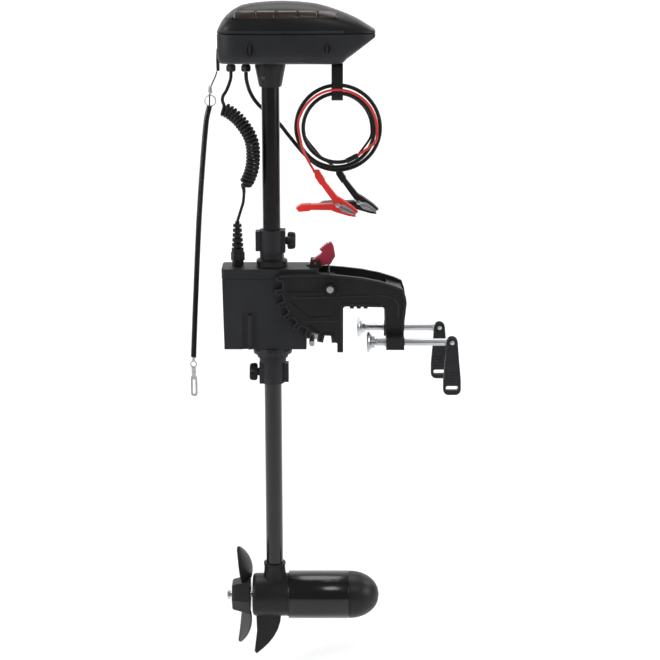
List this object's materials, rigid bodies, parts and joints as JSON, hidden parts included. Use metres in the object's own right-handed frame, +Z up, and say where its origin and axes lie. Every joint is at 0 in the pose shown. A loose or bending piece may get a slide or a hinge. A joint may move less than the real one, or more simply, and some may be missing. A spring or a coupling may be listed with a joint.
{
  "type": "trolling motor",
  "caption": "Transom-mount electric trolling motor with a control head, powered steering housing, toothed tilt clamp, motor pod, propeller and battery leads.",
  "frame": {"origin": "middle of the transom pad's inner face, where it bears on the transom", "axes": "+Z up along the shaft, +X towards the boat, +Y completes the set"},
  "size_m": [0.4445, 0.131, 1.1066],
  "materials": {
    "gloss_black": "semi-gloss black, fine vertical highlights",
    "satin_black": "satin moulded black",
    "charcoal": "matte dark grey moulded",
    "smoke": "smoked brown translucent window",
    "zinc": "zinc-plated steel",
    "brass": "cut brass",
    "copper": "copper windings and iron",
    "crimson": "crimson moulded plastic",
    "green": "green circuit board",
    "ferrite": "grey ferrite and iron",
    "rubber": "black rubber and cable jacket",
    "red_rubber": "red soft plastic"
  },
  "bodies": {
    "clamp": {"near_clamp_plate": "satin_black", "far_clamp_plate": "satin_black", "transom_pad": "satin_black", "arm_crossbar": "satin_black", "pivot_bolt": "zinc"},
    "housing": {"steering_housing": "charcoal", "housing_lid": "charcoal", "steer_motor": "ferrite", "strain_relief": "rubber", "curly_lead_bottom": "rubber"},
    "lever": {"tilt_lever": "crimson"},
    "lock": {"tilt_lock": "zinc"},
    "pinion": {"steer_pinion": "zinc"},
    "steer": {"steer_sleeve": "satin_black", "steer_gear": "brass", "lower_bushing": "charcoal", "upper_collar": "charcoal", "lower_collar": "charcoal", "curly_cord": "rubber"},
    "upper_knob": {"upper_knob": "satin_black"},
    "lower_knob": {"lower_knob": "satin_black"},
    "shaft_unit": {"shaft_tube": "gloss_black", "head_base": "charcoal", "head_cover": "satin_black", "window_strip": "smoke", "control_board": "green", "speed_controller": "zinc", "head_boss": "satin_black", "cord_gland_1": "satin_black", "cord_gland_2": "satin_black", "motor_rear_housing": "satin_black", "motor_sleeve": "gloss_black", "nose_cone": "satin_black", "field_magnets": "ferrite", "rear_bearing": "zinc", "front_bearing": "zinc", "fin": "satin_black", "curly_lead_top": "rubber", "power_cable": "rubber", "cable_coil": "rubber", "coil_tie": "rubber", "red_lead": "red_rubber", "black_lead": "rubber", "red_clip_lower": "red_rubber", "black_clip_lower": "satin_black", "lanyard_cord": "rubber", "lanyard_coil": "rubber", "snap_hook": "zinc"},
    "propeller": {"propeller": "satin_black", "prop_shaft": "zinc", "armature": "copper", "prop_nut": "zinc"},
    "red_clip": {"red_clip_upper": "red_rubber"},
    "black_clip": {"black_clip_upper": "satin_black"},
    "near_disc": {"near_pressure_disc": "zinc"},
    "near_screw": {"near_clamp_screw": "zinc"},
    "near_handle": {"near_handle": "charcoal"},
    "far_disc": {"far_pressure_disc": "zinc"},
    "far_screw": {"far_clamp_screw": "zinc"},
    "far_handle": {"far_handle": "charcoal"}
  },
  "joints": [
    {"name": "tilt", "type": "hinge", "parent": "clamp", "child": "housing", "pos_m": [-0.0211, 0, 0.0776], "axis": [0, 1, 0], "range_deg": [-15.2, 60.8]},
    {"name": "steering", "type": "hinge", "parent": "housing", "child": "steer", "pos_m": [-0.1154, 0, 0], "axis": [0, 0, 1], "range_deg": [-90, 90], "deforming": ["curly_lead_bottom"]},
    {"name": "depth", "type": "slide", "parent": "steer", "child": "shaft_unit", "axis": [0, 0, 1], "range_m": [-0.03, 0.25], "deforming": ["curly_cord", "curly_lead_top", "power_cable", "cable_coil", "red_lead", "black_lead", "red_clip_lower", "black_clip_lower", "red_clip_upper", "black_clip_upper"]},
    {"name": "propeller_spin", "type": "hinge", "parent": "shaft_unit", "child": "propeller", "pos_m": [-0.17, 0, -0.468], "axis": [1, 0, 0], "continuous": true},
    {"name": "pinion_spin", "type": "hinge", "parent": "housing", "child": "pinion", "pos_m": [-0.0848, 0, 0.072], "axis": [0, 0, 1], "range_deg": [-270, 270]},
    {"name": "lever_swing", "type": "hinge", "parent": "housing", "child": "lever", "pos_m": [-0.045, 0, 0.114], "axis": [0, 1, 0], "range_deg": [-27.01, 0.01]},
    {"name": "lock_slide", "type": "slide", "parent": "housing", "child": "lock", "axis": [-0.309, 0, -0.9511], "range_m": [-0.009, 0]},
    {"name": "upper_knob_turn", "type": "hinge", "parent": "steer", "child": "upper_knob", "pos_m": [-0.1154, 0, 0.1496], "axis": [1, 0, 0], "range_deg": [-180, 180]},
    {"name": "lower_knob_turn", "type": "hinge", "parent": "steer", "child": "lower_knob", "pos_m": [-0.1154, 0, -0.0708], "axis": [1, 0, 0], "range_deg": [-180, 180]},
    {"name": "red_clip_squeeze", "type": "hinge", "parent": "shaft_unit", "child": "red_clip", "pos_m": [-0.009, -0.021, 0.212], "axis": [0, 1, 0], "range_deg": [-12, 0], "stiffness_Nm_per_rad": 0.6, "springref_deg": 28.65},
    {"name": "black_clip_squeeze", "type": "hinge", "parent": "shaft_unit", "child": "black_clip", "pos_m": [0.025, 0.021, 0.209], "axis": [0, 1, 0], "range_deg": [-12, 0], "stiffness_Nm_per_rad": 0.6, "springref_deg": 28.65},
    {"name": "near_disc_slide", "type": "slide", "parent": "clamp", "child": "near_disc", "axis": [1, 0, 0], "range_m": [-0.0325, 0.015]},
    {"name": "near_screw_turn", "type": "hinge", "parent": "near_disc", "child": "near_screw", "pos_m": [0.1755, -0.048, -0.0075], "axis": [1, 0, 0], "range_deg": [-4681, 2161]},
    {"name": "near_handle_fold", "type": "hinge", "parent": "near_screw", "child": "near_handle", "pos_m": [0.1755, -0.048, -0.0075], "axis": [0, 1, 0], "range_deg": [-85, 10]},
    {"name": "far_disc_slide", "type": "slide", "parent": "clamp", "child": "far_disc", "axis": [1, 0, 0], "range_m": [-0.0175, 0.03]},
    {"name": "far_screw_turn", "type": "hinge", "parent": "far_disc", "child": "far_screw", "pos_m": [0.1615, 0.048, -0.0075], "axis": [1, 0, 0], "range_deg": [-2521, 4321]},
    {"name": "far_handle_fold", "type": "hinge", "parent": "far_screw", "child": "far_handle", "pos_m": [0.1615, 0.048, -0.0075], "axis": [0, 1, 0], "range_deg": [-85, 10]}
  ],
  "couplings": [
    {"joint": "pinion_spin", "follows": "steering", "ratio": -3},
    {"joint": "lever_swing", "follows": "lock_slide", "rad_per_m": 52.36},
    {"joint": "near_screw_turn", "follows": "near_disc_slide", "rad_per_m": 2513.3},
    {"joint": "far_screw_turn", "follows": "far_disc_slide", "rad_per_m": 2513.3}
  ]
}
